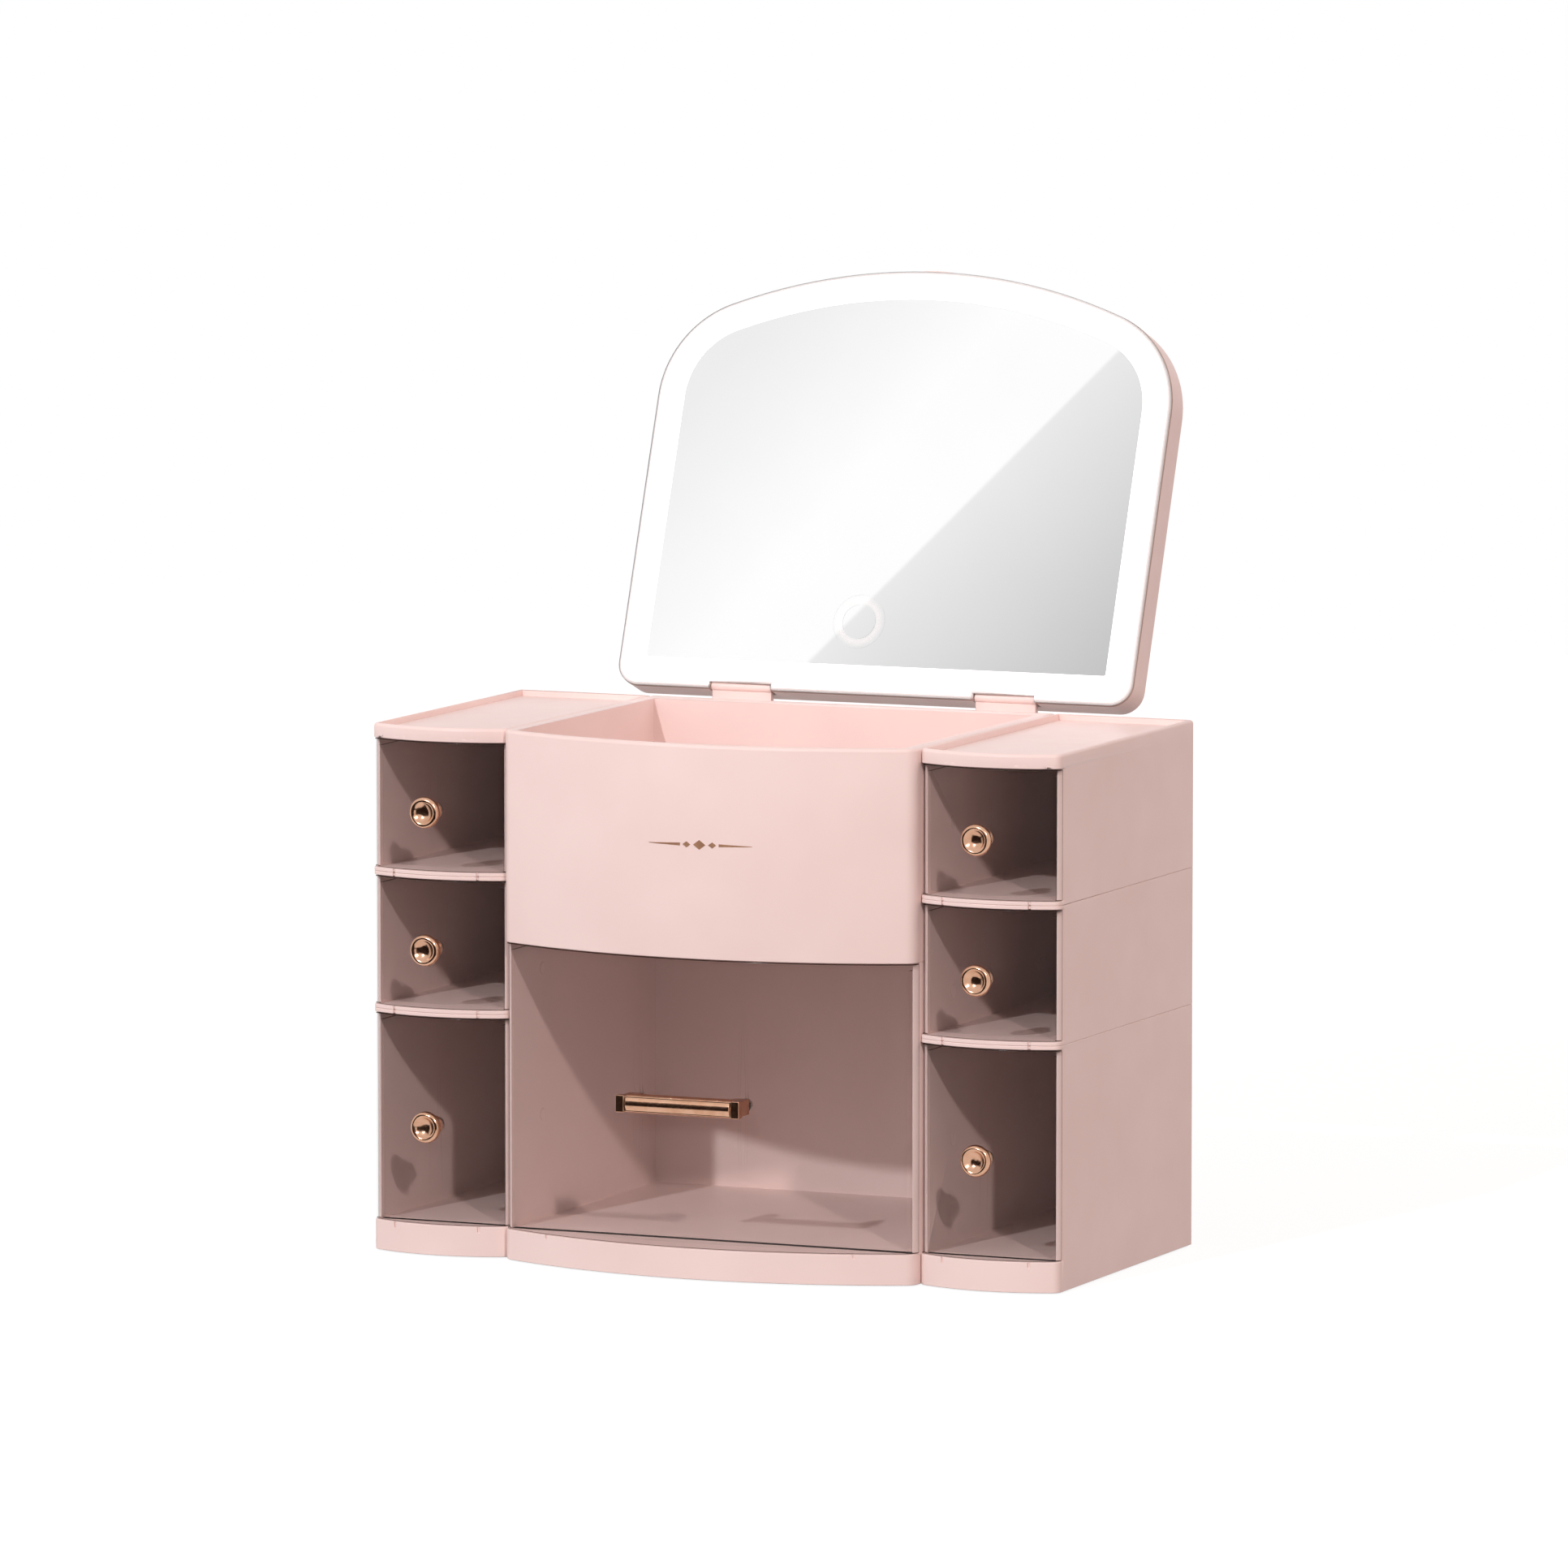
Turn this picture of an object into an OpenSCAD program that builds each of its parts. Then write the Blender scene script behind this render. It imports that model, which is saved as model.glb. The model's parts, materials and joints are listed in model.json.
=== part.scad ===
// Dressing-table organiser with a lighted mirror: two towers of three drawers, a bow-fronted
// middle with one deep drawer under an open bin, and an arched mirror hinged on the back wall.
// Millimetres. X runs to the right, Y to the back, Z up. The origin is on the surface that the
// feet stand on, in the middle of the width and half way along the towers' depth.

/* [Cabinet] */
// Width over both towers
cabinet_w = 380; // [340:1:440]
// Depth of the towers' sides
side_d = 180; // [150:1:220]
// Width of one tower
tower_w = 76; // [66:1:90]
// Height of the plinth top above the floor
plinth_h = 16.4; // [14:0.1:24]
// Height of the tall drawers' openings
tall_h = 107.3; // [80:0.1:130]
// Height of the small drawers' openings
small_h = 66.7; // [50:0.1:90]
// Height of the middle drawer's opening
middle_h = 147.6; // [120:0.1:170]
// Thickness of one tier's floor or roof
slab = 2; // [1.6:0.1:3]
// Height of the towers' lids over the top drawers
lid_h = 7.4; // [6.6:0.1:10]
// Depth of the trays in the lids
tray_d = 3.2; // [2:0.1:4]

/* [Fronts] */
// How far the towers' fronts bow out
tower_bow = 9; // [4:0.1:12]
// Radius of the towers' front corners
tower_corner = 5; // [3.5:0.1:7]
// How far the middle stands out before the towers' corners
middle_reach = 31.5; // [24:0.1:40]
// Radius of the middle's bow
middle_bow_r = 262; // [240:1:300]
// Radius of the middle's front corners
middle_corner = 8; // [6:0.1:10]
// Radius that rounds the upper edges
edge_r = 1.8; // [1:0.1:2.2]

/* [Walls] */
// Thickness of the side walls
wall = 3; // [2.4:0.1:4]
// Thickness of the back walls
back_wall = 2.5; // [2:0.1:4]
// Width of the bin's double side walls
bin_side = 7; // [6.6:0.1:9]
// Thickness of the bin's front wall
bin_front = 4.5; // [3.5:0.1:6]
// Thickness of the bin's double back wall
bin_back = 13; // [11:0.1:16]
// Thickness of the bin's floor
bin_floor = 3; // [2:0.1:5]
// Width of the rims round the trays
rim = 2.4; // [2:0.1:3]

/* [Drawers] */
// Thickness of the drawers' fronts
front_t = 3; // [2.4:0.1:4]
// Thickness of the drawers' sides and backs
drawer_wall = 1.8; // [1.4:0.1:2.6]
// Thickness of the drawers' floors
drawer_floor = 2; // [1.6:0.1:3]
// Clearance beside the drawers
side_gap = 0.4; // [0.3:0.05:0.8]
// Clearance under the drawers
floor_gap = 0.3; // [0.2:0.05:0.5]
// Clearance over the drawers' fronts
top_gap = 0.5; // [0.4:0.05:1]
// How far the drawers' sides stay below the roof
side_drop = 4; // [3.6:0.1:8]
// How far every drawer pulls out
pull = 120; // [80:1:128]

/* [Knobs and handle] */
// Diameter of the knobs
knob_d = 16.4; // [12:0.1:20]
// Length of the knobs
knob_l = 12.2; // [11:0.1:16]
// How far the knobs sit below the middle of their fronts
knob_drop = 2; // [0:0.1:6]
// Length of the bar handle
bar_l = 68; // [60:1:90]
// Height of the bar handle
bar_h = 10; // [8.4:0.1:12]
// Thickness of the bar handle
bar_t = 5; // [4:0.1:6]
// Free space for the fingers behind the bar
bar_gap = 9; // [6:0.1:12]
// Radius of the handle screws' shanks
screw_r = 2; // [1.5:0.05:2.2]

/* [Mirror] */
// Width of the mirror
mirror_w = 290; // [280:1:300]
// Height of the mirror without its tab
mirror_h = 229.5; // [215:0.5:240]
// Thickness of the mirror's frame
mirror_t = 19; // [17:0.1:24]
// Radius of the mirror's top arch
arch_r = 300; // [290:1:320]
// Radius of the mirror's upper corners
shoulder_r = 55; // [45:1:60]
// Radius of the mirror's lower corners
foot_r = 12; // [8:0.5:16]
// Lean of the mirror behind the upright, in degrees
lean = 20.4; // [10:0.1:25]
// How far the mirror stands to the right of the middle
mirror_shift = 7; // [0:0.5:15]
// Width of the lit band with the frame's edge
band_w = 15.7; // [15:0.1:18]
// Thickness of the glass and of the lit band
glass_t = 1.8; // [1.2:0.1:1.9]
// Thickness of the mirror shell's walls
shell_t = 1.8; // [1.4:0.1:2.2]

/* [Hinges] */
// Distance of the hinge axis behind the back wall
hinge_reach = 11.6; // [10:0.1:14]
// Distance of each hinge from the mirror's middle
hinge_x = 74.4; // [60:0.1:90]
// Width of the hinge knuckles
knuckle_w = 34; // [24:0.5:40]
// Radius of the hinge knuckles
knuckle_r = 2.4; // [2.2:0.05:2.5]
// Radius of the hinge pins
pin_r = 1; // [0.8:0.05:1.2]
// Depth of the hinge axis behind the mirror's face
pin_depth = 4.7; // [4.6:0.05:5.2]
// Height of the hinge axis above the mirror's lower edge
pin_rise = 2.3; // [1.8:0.05:2.6]
// Gap between the closed mirror and the rims
closed_gap = 0.3; // [0.3:0.05:1.5]

/* [Hidden] */
$fn = 96;
fit = 0.05;
slack = 0.3;
seam = 0.02; // between the middle and the towers
cut = 1;
blend = 0.003; // a corner's arc stands this far proud where it runs into its neighbours

pink = "#f0d2cb";
smoke = "#8a6e68b0";
gold = "#c99a7c";
steel = "#b9bcc0";
white = "#f4f4f2";

// Heights of the tiers
pad_lift = 0.8;
shelf = 2 * slab;
floor_low = plinth_h;
floor_mid = floor_low + tall_h + shelf;
floor_top = floor_mid + small_h + shelf;
lid_z = floor_top + small_h;
rim_z = lid_z + lid_h;
bin_z = plinth_h + middle_h;

// Depths, with Y = 0 half way along the towers' sides
back_y = side_d / 2;
corner_y = -side_d / 2;

// Plans as [half width, radius of the bow, its centre's y, corner radius, corner's y]
function plan_of(half, bow_r, bow_y, corner) =
    [half, bow_r, bow_y, corner, bow_y - sqrt(pow(bow_r - corner, 2) - pow(half - corner, 2))];
tower_half = tower_w / 2;
tower_bow_r = (pow(tower_half, 2) + pow(tower_bow, 2)) / (2 * tower_bow);
tower = plan_of(tower_half, tower_bow_r, corner_y - tower_bow + tower_bow_r, tower_corner);
middle_half = cabinet_w / 2 - tower_w - seam;
middle = plan_of(middle_half, middle_bow_r, corner_y - middle_reach + middle_bow_r, middle_corner);
tower_x = cabinet_w / 2 - tower_half;

// Drawers: the fronts lie a little inside the plan, and the walls stop behind them
front_inset = 0.5;
front_zone = front_t + front_inset + slack;
drawer_back = back_y - back_wall - 1;

// Stops under each roof catch a tab on the drawer's back
stop_h = 1.6;
stop_t = 2;
stop_w = 12;
stop_y = drawer_back - drawer_wall - pull - 1 - stop_t;

// Moulded notches that show on the front edges
notch_w = 1.2;
notch_x = 23.5;
middle_notch_x = 85;
notch_d = 1;

// Feet
pad_r = 8;
pad_t = 2.6;
post_r = pad_r + 2;
pad_x = middle_half - 22;
pad_y = side_d / 2 - 28;

// Mirror frame: its lower front edge, found from the hinge axis
axis_y = back_y + hinge_reach;
axis_z = rim_z + closed_gap + pin_depth;
edge_y = axis_y - pin_rise * sin(lean) - pin_depth * cos(lean);
edge_z = axis_z - pin_rise * cos(lean) + pin_depth * sin(lean);
arch_y = mirror_h - arch_r;
shoulder_x = mirror_w / 2 - shoulder_r;
shoulder_y = arch_y + sqrt(pow(arch_r - shoulder_r, 2) - pow(shoulder_x, 2));

// Layers behind the mirror's face
face_c = 0.2;
face_edge = 0.3;
seat_c = face_c + glass_t;
back_c = mirror_t - 2.2;
board_c = 12;
board_t = 1.2;
chip_t = 0.7;
carrier_t = 1.6;
carrier_edge = 1.2;
notch_c = pin_depth + knuckle_r + 1.7;
notch_b = pin_rise + knuckle_r + 0.8;
neck_back = 2;
neck_front = 1;
cheek = 6;
pocket_w = knuckle_w + 2 * (slack + cheek);
pin_l = pocket_w - shell_t - slack;

// Touch switch
touch_x = -12;
touch_b = 39;
touch_out = 14.4;
touch_in = 9.2;
print_t = 0.4;

// Screws that hold the mirror's front to its shell, as places round the face
face_screws = [[-100, 40], [100, 40], [-108, 130], [108, 130], [-52, 192], [52, 192]];
boss_r = 3.6;
face_screw_r = 1.3;
face_screw_l = 13;
head_r = 2.5;
head_t = 1.6;

// ---- Plans --------------------------------------------------------------------------------

// A bow-fronted plan with round front corners, drawn in by s
module bowed(p, s = 0, back = back_y) {
    half = p[0] - s;
    bow_r = p[1] - s;
    tangent_x = (p[0] - p[3]) * bow_r / (p[1] - p[3]);
    front = p[2] - bow_r - cut;
    intersection() {
        translate([0, p[2]]) circle(bow_r, $fn = 360);
        translate([-tangent_x, front]) square([2 * tangent_x, p[4] - front]);
    }
    translate([-half, p[4]]) square([2 * half, back - s - p[4]]);
    for (side = [-1, 1])
        translate([side * (p[0] - p[3]), p[4]]) circle(p[3] - s + blend, $fn = 48);
}

// Everything that lies more than t behind the bowed front
module behind(p, t) {
    translate([0, t]) bowed(p);
    translate([-p[0] - cut, p[4] + t]) square([2 * (p[0] + cut), back_y - p[4]]);
}

// The skin between two curves, from s inside the front to s + t
module front_skin(p, s, t) {
    difference() {
        bowed(p, s);
        behind(p, s + t);
    }
}

// The open box behind a front: both sides and the back
module box_walls(p, side, back_t, start) {
    inner = p[0] - side;
    front = p[2] - p[1] - cut;
    intersection() {
        difference() {
            translate([-p[0], front]) square([2 * p[0], back_y - front]);
            translate([-inner, front - cut]) square([2 * inner, back_y - back_t - front + cut]);
        }
        behind(p, start);
    }
}

// A block of the given height whose upper edges are rounded
module soft_block(p, h) {
    hull()
        for (turn = [0 : 30 : 90]) {
            s = edge_r * (1 - cos(turn));
            linear_extrude(h - edge_r * (1 - sin(turn))) bowed(p, s);
        }
}

// ---- Towers -------------------------------------------------------------------------------

module notches(z, h, reach, p) {
    for (side = [-1, 1])
        translate([side * reach - notch_w / 2, 0, z])
            linear_extrude(h) intersection() {
                translate([0, -side_d]) square([notch_w, side_d]);
                translate([-side * reach + notch_w / 2, 0]) front_skin(p, 0, notch_d);
            }
}

module roof_stop(z, width) {
    translate([-width / 2, stop_y, z - stop_h]) cube([width, stop_t, stop_h + slab / 2]);
}

// One tier: floor, roof, both sides and the back, open at the front
module tier(base_z, floor_z, opening, top_z) {
    roof_z = floor_z + opening;
    difference() {
        union() {
            translate([0, 0, base_z]) linear_extrude(floor_z - base_z) bowed(tower);
            translate([0, 0, roof_z]) linear_extrude(top_z - roof_z) bowed(tower);
            translate([0, 0, floor_z]) linear_extrude(opening)
                box_walls(tower, wall, back_wall, front_zone);
            roof_stop(roof_z, stop_w);
        }
        notches(floor_z - slab - cut, slab + 2 * cut, notch_x, tower);
        notches(roof_z - cut, slab + 2 * cut, notch_x, tower);
    }
}

// The space under a plinth, with ribs left across it
module plinth_space(p, rib_xs) {
    translate([0, 0, pad_lift - cut]) linear_extrude(plinth_h - slab - pad_lift + cut)
        difference() {
            bowed(p, back_wall);
            for (x = rib_xs)
                translate([x - slab / 2, -side_d]) square([slab, 2 * side_d]);
            translate([-p[0], -slab / 2]) square([2 * p[0], slab]);
        }
}

module tier_low() {
    color(pink) difference() {
        tier(pad_lift, floor_low, tall_h, floor_low + tall_h + slab);
        difference() {
            plinth_space(tower, [0]);
            for (side = [-1, 1])
                translate([0, side * pad_y, 0]) cylinder(h = plinth_h, r = post_r);
        }
        for (side = [-1, 1])
            translate([0, side * pad_y, pad_lift - cut])
                cylinder(h = pad_t - pad_lift + cut, r = pad_r + fit);
        tower_rivet_holes();
        tier_rivet_places() stack_rivet(fit);
    }
}

module tier_mid() {
    color(pink) difference() {
        tier(floor_mid - slab, floor_mid, small_h, floor_mid + small_h + slab);
        tower_rivet_holes();
        tier_rivet_places() stack_rivet(fit);
    }
}

// The top tier carries the lid with its tray
module tier_top() {
    color(pink) difference() {
        union() {
            tier(floor_top - slab, floor_top, small_h, lid_z + slab);
            translate([0, 0, lid_z]) soft_block(tower, lid_h);
        }
        translate([0, 0, rim_z - tray_d]) linear_extrude(tray_d + cut) bowed(tower, rim);
        tower_rivet_holes();
        tier_rivet_places() stack_rivet(fit);
    }
}

// ---- Rivets that join the tiers and the middle ---------------------------------------------

// Halfway up each wall that a left tier shares with the carcass or the bin
side_rivet_zs = [
    floor_low + tall_h / 2,
    (max(floor_mid, plinth_h) + min(floor_mid + small_h, bin_z)) / 2,
    (max(floor_top, bin_z) + lid_z) / 2
];
side_rivet_ys = [-back_y + 36, back_y - 26];
side_rivet_r = 3;
stack_rivet_r = 2;

module side_rivet(ease = 0) {
    rotate([0, 90, 0])
        cylinder(h = 2 * (wall + ease), r = side_rivet_r + ease, center = true);
}

module tower_rivet_holes() {
    for (z = side_rivet_zs, y = side_rivet_ys)
        translate([tower_half, y, z]) side_rivet(fit);
}

module middle_rivet_holes() {
    for (side = [-1, 1], z = side_rivet_zs, y = side_rivet_ys)
        translate([side * middle_half, y, z]) side_rivet(fit);
}

module side_rivets() {
    color(pink)
        for (side = [-1, 1], z = side_rivet_zs, y = side_rivet_ys)
            translate([side * middle_half, y, z]) side_rivet();
}

module stack_rivet(ease = 0) {
    cylinder(h = 2 * (slab + ease), r = stack_rivet_r + ease, center = true, $fn = 32);
}

// The corners of both seams between a tower's tiers
module tier_rivet_places() {
    for (z = [floor_mid - slab, floor_top - slab], x = [-1, 1], y = [-1, 1])
        translate([x * (tower_half - 12), y * (back_y - 20), z]) children();
}

module tier_rivets() {
    color(pink)
        for (side = [-1, 1])
            translate([side * tower_x, 0, 0]) tier_rivet_places() stack_rivet();
}

// ---- Middle -------------------------------------------------------------------------------

module middle_pads() {
    for (x = [-pad_x, pad_x], y = [-pad_y, pad_y]) translate([x, y, 0]) children();
    children();
}

module middle_carcass() {
    color(pink) difference() {
        union() {
            translate([0, 0, pad_lift]) linear_extrude(plinth_h - pad_lift) bowed(middle);
            translate([0, 0, plinth_h]) linear_extrude(middle_h)
                box_walls(middle, wall, back_wall, front_zone);
        }
        difference() {
            plinth_space(middle, [-middle_half / 2, 0, middle_half / 2]);
            middle_pads() cylinder(h = plinth_h, r = post_r);
        }
        middle_pads() translate([0, 0, pad_lift - cut])
            cylinder(h = pad_t - pad_lift + cut, r = pad_r + fit);
        notches(plinth_h - slab, slab + cut, middle_notch_x, middle);
        middle_rivet_holes();
    }
}

// The bin's hollow, round-cornered at the back
module bin_hollow() {
    inner = middle_half - bin_side;
    front = middle[2] - middle[1] - cut;
    intersection() {
        translate([-inner, front]) square([2 * inner, back_y - bin_back - front]);
        behind(middle, bin_front);
    }
}

// Hollow cores of the double walls, open from below, with bosses left for the hinge screws
module bin_cores() {
    top = rim_z - 2 * wall;
    skin = (bin_side - wall) / 2;
    side_core = bin_side - wall - skin;
    back_core = bin_back - wall - skin;
    for (side = [-1, 1])
        translate([side * (middle_half - wall - side_core / 2) - side_core / 2, corner_y + wall, 0])
            translate([0, 0, bin_z - cut])
                cube([side_core, side_d - 2 * wall - bin_back, top - bin_z + cut]);
    difference() {
        translate([-middle_half + bin_side, back_y - bin_back + skin, bin_z - cut])
            cube([2 * (middle_half - bin_side), back_core, top - bin_z + cut]);
        hinge_screw_places() rotate([90, 0, 0]) cylinder(h = bin_back, r = 4);
    }
}

module top_bin() {
    color(pink) difference() {
        union() {
            translate([0, 0, bin_z]) soft_block(middle, rim_z - bin_z);
            roof_stop(bin_z, 3 * stop_w);
        }
        translate([0, 0, bin_z + bin_floor]) linear_extrude(rim_z - bin_z) bin_hollow();
        bin_cores();
        hinge_screw_places() bracket_screw(fit);
        middle_rivet_holes();
    }
}

module foot_pads() {
    color("#55504e") {
        middle_pads() cylinder(h = pad_t, r = pad_r);
        for (x = [-tower_x, tower_x], y = [-pad_y, pad_y])
            translate([x, y, 0]) cylinder(h = pad_t, r = pad_r);
    }
}

// ---- Drawers ------------------------------------------------------------------------------

// A one-piece tray with a bowed front that covers the edges of the walls beside it
module drawer(p, side_wall, floor_z, opening, bores_x, bore_z, tab_w) {
    half = p[0] - side_wall - side_gap;
    low = floor_z + floor_gap;
    top = floor_z + opening;
    skin = front_inset + front_t;
    front = p[2] - p[1] - cut;
    inner = half - drawer_wall;
    difference() {
        union() {
            translate([0, 0, low]) linear_extrude(top - top_gap - low)
                front_skin(p, front_inset, front_t);
            translate([0, 0, low]) linear_extrude(top - side_drop - low) difference() {
                intersection() {
                    translate([-half, front]) square([2 * half, drawer_back - front]);
                    behind(p, skin - slack);
                }
                intersection() {
                    translate([-inner, front])
                        square([2 * inner, drawer_back - drawer_wall - front]);
                    behind(p, skin);
                }
            }
            translate([0, 0, low]) linear_extrude(drawer_floor) intersection() {
                translate([-half, front]) square([2 * half, drawer_back - front]);
                behind(p, skin - slack);
            }
            translate([-tab_w / 2, drawer_back - drawer_wall, top - side_drop - cut])
                cube([tab_w, drawer_wall, side_drop + cut - top_gap]);
        }
        for (x = bores_x)
            translate([x, corner_y, bore_z]) rotate([90, 0, 0])
                cylinder(h = middle_reach + tower_bow, r = screw_r + slack);
    }
}

module tower_drawer(floor_z, opening) {
    color(smoke)
        drawer(tower, wall, floor_z, opening, [0], floor_z + opening / 2 - knob_drop, stop_w - 2);
}

post_x = bar_l / 2 - 5;
bar_z = plinth_h + middle_h / 2;

module middle_drawer() {
    color(smoke)
        drawer(middle, wall, plinth_h, middle_h, [-post_x, post_x], bar_z, 3 * stop_w - 2);
}

// ---- Knobs, handle and their screws -------------------------------------------------------

tower_face_y = corner_y - tower_bow + front_inset;
knob_r = knob_d / 2;
dish_d = 2.6;
knob_hole = knob_l - dish_d - 1.6;

// Turned knob: flange, waist and a dished head
module knob() {
    rotate([90, 0, 0]) rotate_extrude() difference() {
        union() {
            square([6, 1.4]);
            square([3.6, knob_l - 2]);
            translate([0, knob_l - 5.4]) square([knob_r - 2, 5.4]);
            translate([0, knob_l - 3.4]) square([knob_r, 1.4]);
            for (z = [knob_l - 2, knob_l - 3.4]) translate([knob_r - 2, z]) circle(2, $fn = 32);
        }
        translate([0, knob_l + knob_r - 1.2 - dish_d]) circle(knob_r - 1.2, $fn = 64);
        translate([-cut, -cut]) square([screw_r + fit + cut, knob_hole + cut]);
        translate([-knob_d, -cut]) square([knob_d, knob_l + 9]);
    }
}

// Pan-head screw along -Y, with its seat at the origin
screw_head_r = 1.8 * screw_r;

module front_screw(reach) {
    rotate([90, 0, 0]) {
        translate([0, 0, -2.2]) cylinder(h = 2.2, r = screw_head_r);
        cylinder(h = reach, r = screw_r);
    }
}

// Where a bow's face, drawn in by s, lies at a given x
function bow_y(p, s, x) = p[2] - sqrt(pow(p[1] - s, 2) - x * x);

module tower_knob(floor_z, opening) {
    color(gold) translate([0, tower_face_y, floor_z + opening / 2 - knob_drop]) knob();
}

module tower_screw(floor_z, opening) {
    seat_y = bow_y(tower, front_inset, screw_head_r) + front_t;
    color(steel) translate([0, seat_y, floor_z + opening / 2 - knob_drop])
        front_screw(seat_y - tower_face_y + knob_hole - slack);
}

bar_end = 4.5;
post_w = 8;
bar_back_y = bow_y(middle, front_inset, 0) - bar_gap;
post_front_y = bar_back_y - bar_t / 2;
post_screw_y = bow_y(middle, front_inset, post_x + screw_head_r) + front_t;

// Half-round bar between two square ends, whose posts are cut to the bow of the front
module bar_handle() {
    color(gold) translate([0, 0, bar_z]) difference() {
        union() {
            for (side = [-1, 1]) {
                translate([side * post_x - post_w / 2, bar_back_y, -post_w / 2])
                    cube([post_w, corner_y - bar_back_y, post_w]);
                translate([side * (bar_l - bar_end) / 2 - bar_end / 2, bar_back_y - bar_t, 0])
                    translate([0, 0.4, -bar_h / 2 + 0.6]) cube([bar_end, bar_t - 0.4, bar_h - 1.2]);
            }
            translate([-bar_l / 2 + bar_end + 0.8, bar_back_y, 0]) bar_profile(bar_l - 2 * bar_end - 1.6);
            translate([-bar_l / 2 + bar_end - cut, bar_back_y - bar_t + 1.2, -bar_h / 2 + 1])
                cube([bar_l - 2 * bar_end + 2 * cut, bar_t - 1.2, bar_h - 2]);
        }
        translate([0, 0, -bar_h]) linear_extrude(2 * bar_h) bowed(middle, front_inset);
        for (side = [-1, 1])
            translate([side * post_x, corner_y, 0]) rotate([90, 0, 0])
                cylinder(h = corner_y - post_front_y, r = screw_r + fit);
    }
}

// The bar's section: flat behind, rounded in front
module bar_profile(l) {
    bow_r = (pow(bar_h / 2, 2) + pow(bar_t - 1, 2)) / (2 * (bar_t - 1));
    rotate([0, 90, 0]) linear_extrude(l) intersection() {
        translate([0, bow_r - bar_t]) circle(bow_r, $fn = 64);
        translate([-bar_h / 2, -bar_t]) square([bar_h, bar_t]);
    }
}

module handle_screws() {
    color(steel)
        for (side = [-1, 1])
            translate([side * post_x, post_screw_y, bar_z])
                front_screw(post_screw_y - post_front_y - slack);
}

// ---- Hinges on the back wall --------------------------------------------------------------

bracket_low = rim_z - 42;
bracket_screw_l = 11;
bracket_screw_r = 1.5;

module hinge_bracket(side) {
    neck_top = axis_z;
    block_z = axis_z - 7.2;
    plate_t = 3;
    color(pink) translate([mirror_shift + side * hinge_x - knuckle_w / 2, 0, 0])
        difference() {
            rotate([90, 0, 90]) linear_extrude(knuckle_w) {
                difference() {
                    union() {
                        translate([axis_y, axis_z]) circle(knuckle_r, $fn = 64);
                        translate([axis_y - neck_front, block_z - cut])
                            square([neck_front + neck_back, neck_top - block_z + cut]);
                    }
                    translate([axis_y, axis_z]) circle(pin_r + fit + 0.02, $fn = 64);
                }
                polygon([
                    [back_y, bracket_low], [back_y + plate_t, bracket_low],
                    [back_y + plate_t, block_z - 18], [axis_y + neck_back, block_z - 8],
                    [axis_y + neck_back, block_z], [back_y, block_z]
                ]);
            }
            for (x = [0.25, 0.75])
                translate([x * knuckle_w, 0, bracket_low + 7]) bracket_screw(fit);
        }
}

// A screw driven from behind through the bracket into the back wall
module bracket_screw(ease = 0) {
    head_y = back_y + 3;
    translate([0, head_y, 0]) rotate([90, 0, 0]) {
        cylinder(h = bracket_screw_l + ease, r = bracket_screw_r + ease);
        translate([0, 0, -2]) cylinder(h = 2, r = 2 * bracket_screw_r);
    }
}

module hinge_screw_places() {
    for (side = [-1, 1], x = [0.25, 0.75])
        translate([mirror_shift + side * hinge_x + (x - 0.5) * knuckle_w, 0, bracket_low + 7])
            children();
}

module hinge_screws() {
    color(steel) hinge_screw_places() bracket_screw();
}

// ---- Mirror -------------------------------------------------------------------------------

// Takes the mirror's own axes (X across, Y back through it, Z up its face) to the lean
module leaning() {
    translate([mirror_shift, edge_y, edge_z]) rotate([-lean, 0, 0]) children();
}

// A sheet with the given outline, from depth c to depth c + t
module sheet(c, t) {
    translate([0, c + t, 0]) rotate([90, 0, 0]) linear_extrude(t) children();
}

// The arched outline, drawn in by s
module arch(s) {
    half = mirror_w / 2 - s;
    shoulder = shoulder_r - s;
    foot = max(foot_r - s, 1);
    tangent_x = shoulder_x * (arch_r - s) / (arch_r - shoulder_r);
    intersection() {
        translate([0, arch_y]) circle(arch_r - s, $fn = 360);
        translate([-tangent_x, shoulder_y]) square([2 * tangent_x, mirror_h]);
    }
    for (side = [-1, 1])
        translate([side * shoulder_x, shoulder_y]) circle(shoulder + blend, $fn = 96);
    translate([-half, s + foot]) square([2 * half, shoulder_y - s - foot]);
    translate([-half + foot, s]) square([2 * (half - foot), foot + cut]);
    for (side = [-1, 1])
        translate([side * (half - foot), s + foot]) circle(foot, $fn = 48);
}

// A ring of the outline between two insets
module arch_ring(outer, inner) {
    difference() {
        arch(outer);
        arch(inner);
    }
}

// Slots in the mirror's lower edge for the necks of the fixed knuckles
module neck_slots(depth) {
    width = knuckle_w + 2 * slack;
    for (side = [-1, 1])
        translate([side * hinge_x - width / 2, -cut, -cut])
            cube([width, depth + cut, pin_rise + neck_front + slack + cut]);
}

// Space that the knuckles turn in, behind the lit band
module knuckle_pockets() {
    width = knuckle_w + 2 * slack;
    for (side = [-1, 1])
        translate([side * hinge_x - width / 2, seat_c, -cut])
            cube([width, notch_c - seat_c, notch_b + cut]);
}

module pin_rods(r, l) {
    for (side = [-1, 1])
        translate([side * hinge_x - l / 2, pin_depth, pin_rise]) rotate([0, 90, 0])
            cylinder(h = l, r = r);
}

socket_b = 74;
socket_w = 9.2;
socket_t = 3.4;
socket_l = 7.4;
socket_c = 7;

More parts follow.
